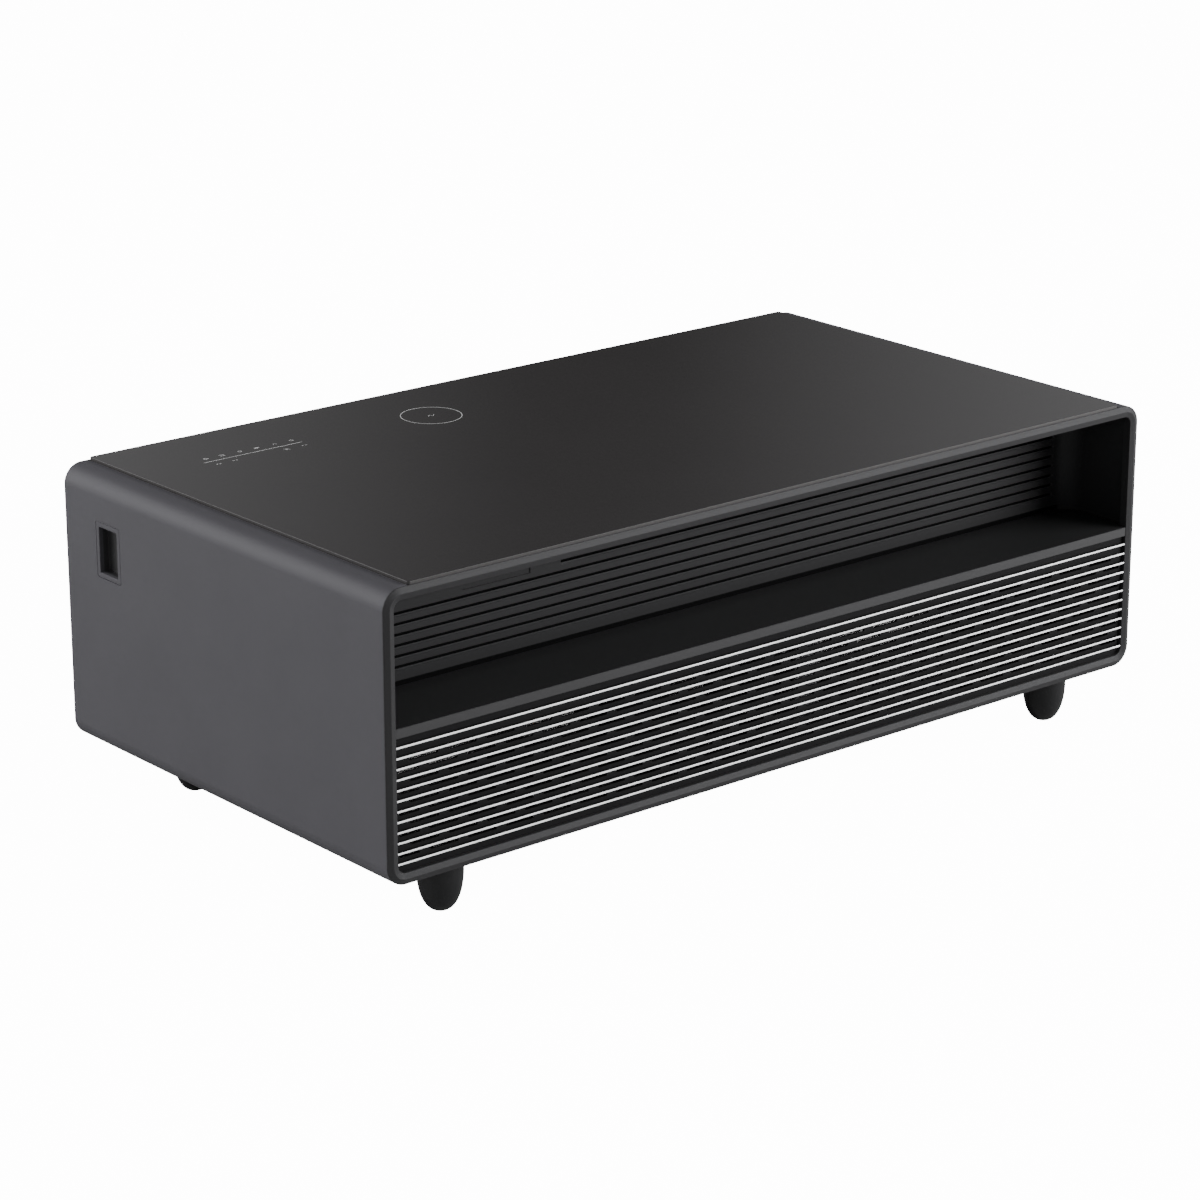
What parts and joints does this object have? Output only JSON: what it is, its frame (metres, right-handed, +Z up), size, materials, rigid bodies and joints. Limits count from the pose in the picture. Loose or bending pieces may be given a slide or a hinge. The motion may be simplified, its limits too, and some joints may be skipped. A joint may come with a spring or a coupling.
{
  "type": "refrigerator coffee table",
  "caption": "Low lounge table with a dark glass top, an open ribbed shelf and a finned grille on one long side, and two refrigerated drawers on the other.",
  "frame": {"origin": "on the floor, under the middle of the table", "axes": "+Z up, +X along the length to the right as seen from the open shelf, +Y towards the drawer side"},
  "size_m": [1.3, 0.7, 0.4535],
  "materials": {
    "satin_paint": "satin blue-grey paint",
    "black_paint": "satin black paint",
    "dark_glass": "dark toughened glass with printed marks",
    "black_plastic": "matte black moulding",
    "liner_plastic": "satin dark grey moulding",
    "bright_trim": "bright anodised aluminium",
    "painted_board": "board with satin blue-grey paint",
    "board_wood": "black laminated board",
    "white_plastic": "white fridge lining",
    "clear_bin": "pale moulded bin",
    "grey_rubber": "soft grey rubber",
    "zinc_steel": "zinc-plated steel",
    "machine_black": "gloss black enamel",
    "bare_aluminium": "plain rolled aluminium",
    "copper_tube": "drawn copper tube",
    "green_board": "green circuit board",
    "light_diffuser": "milky diffuser"
  },
  "bodies": {
    "table": {"left_side_panel": "satin_paint", "right_side_panel": "satin_paint", "socket_bezel": "satin_paint", "socket_cup": "black_plastic", "front_ring": "black_paint", "rear_ring": "black_paint", "base_panel": "board_wood", "foot_bolts": "zinc_steel", "mains_inlet": "black_plastic", "top_deck": "board_wood", "glass_top": "dark_glass", "touch_board": "green_board", "charger_coil": "copper_tube", "shelf_board": "board_wood", "niche_liner": "liner_plastic", "light_channel": "light_diffuser", "grille_panel": "black_paint", "grille_strips": "bright_trim", "fridge_cabinet": "white_plastic", "compressor": "machine_black", "compressor_rubbers": "grey_rubber", "condenser": "bare_aluminium", "fan_frame": "black_plastic", "refrigerant_lines": "copper_tube", "power_supply": "bare_aluminium", "control_board": "green_board", "front_left_foot": "black_plastic", "front_right_foot": "black_plastic", "rear_left_foot": "black_plastic", "rear_right_foot": "black_plastic", "left_cold_plate": "bare_aluminium", "left_outer_rail_1": "zinc_steel", "left_outer_rail_2": "zinc_steel", "right_cold_plate": "bare_aluminium", "right_outer_rail_1": "zinc_steel", "right_outer_rail_2": "zinc_steel"},
    "fan_rotor_body": {"fan_rotor": "black_plastic"},
    "left_drawer": {"left_drawer_front": "painted_board", "left_door_core": "white_plastic", "left_door_gasket": "grey_rubber", "left_drawer_bin": "clear_bin", "left_bin_divider": "clear_bin", "left_inner_rail_1": "zinc_steel", "left_inner_rail_2": "zinc_steel"},
    "left_middle_rails": {"left_middle_rail_1": "zinc_steel", "left_middle_rail_2": "zinc_steel"},
    "right_drawer": {"right_drawer_front": "painted_board", "right_door_core": "white_plastic", "right_door_gasket": "grey_rubber", "right_drawer_bin": "clear_bin", "right_bin_divider": "clear_bin", "right_inner_rail_1": "zinc_steel", "right_inner_rail_2": "zinc_steel"},
    "right_middle_rails": {"right_middle_rail_1": "zinc_steel", "right_middle_rail_2": "zinc_steel"}
  },
  "joints": [
    {"name": "left_drawer_slide", "type": "slide", "parent": "table", "child": "left_drawer", "axis": [0, 1, 0], "range_m": [0, 0.32]},
    {"name": "left_middle_rail_slide", "type": "slide", "parent": "table", "child": "left_middle_rails", "axis": [0, 1, 0], "range_m": [0, 0.16]},
    {"name": "right_drawer_slide", "type": "slide", "parent": "table", "child": "right_drawer", "axis": [0, 1, 0], "range_m": [0, 0.32]},
    {"name": "right_middle_rail_slide", "type": "slide", "parent": "table", "child": "right_middle_rails", "axis": [0, 1, 0], "range_m": [0, 0.16]},
    {"name": "fan_spin", "type": "hinge", "parent": "table", "child": "fan_rotor_body", "pos_m": [0.0375, -0.2125, 0.144], "axis": [1, 0, 0], "continuous": true}
  ],
  "couplings": [
    {"joint": "left_middle_rail_slide", "follows": "left_drawer_slide", "ratio": 0.5},
    {"joint": "right_middle_rail_slide", "follows": "right_drawer_slide", "ratio": 0.5}
  ]
}
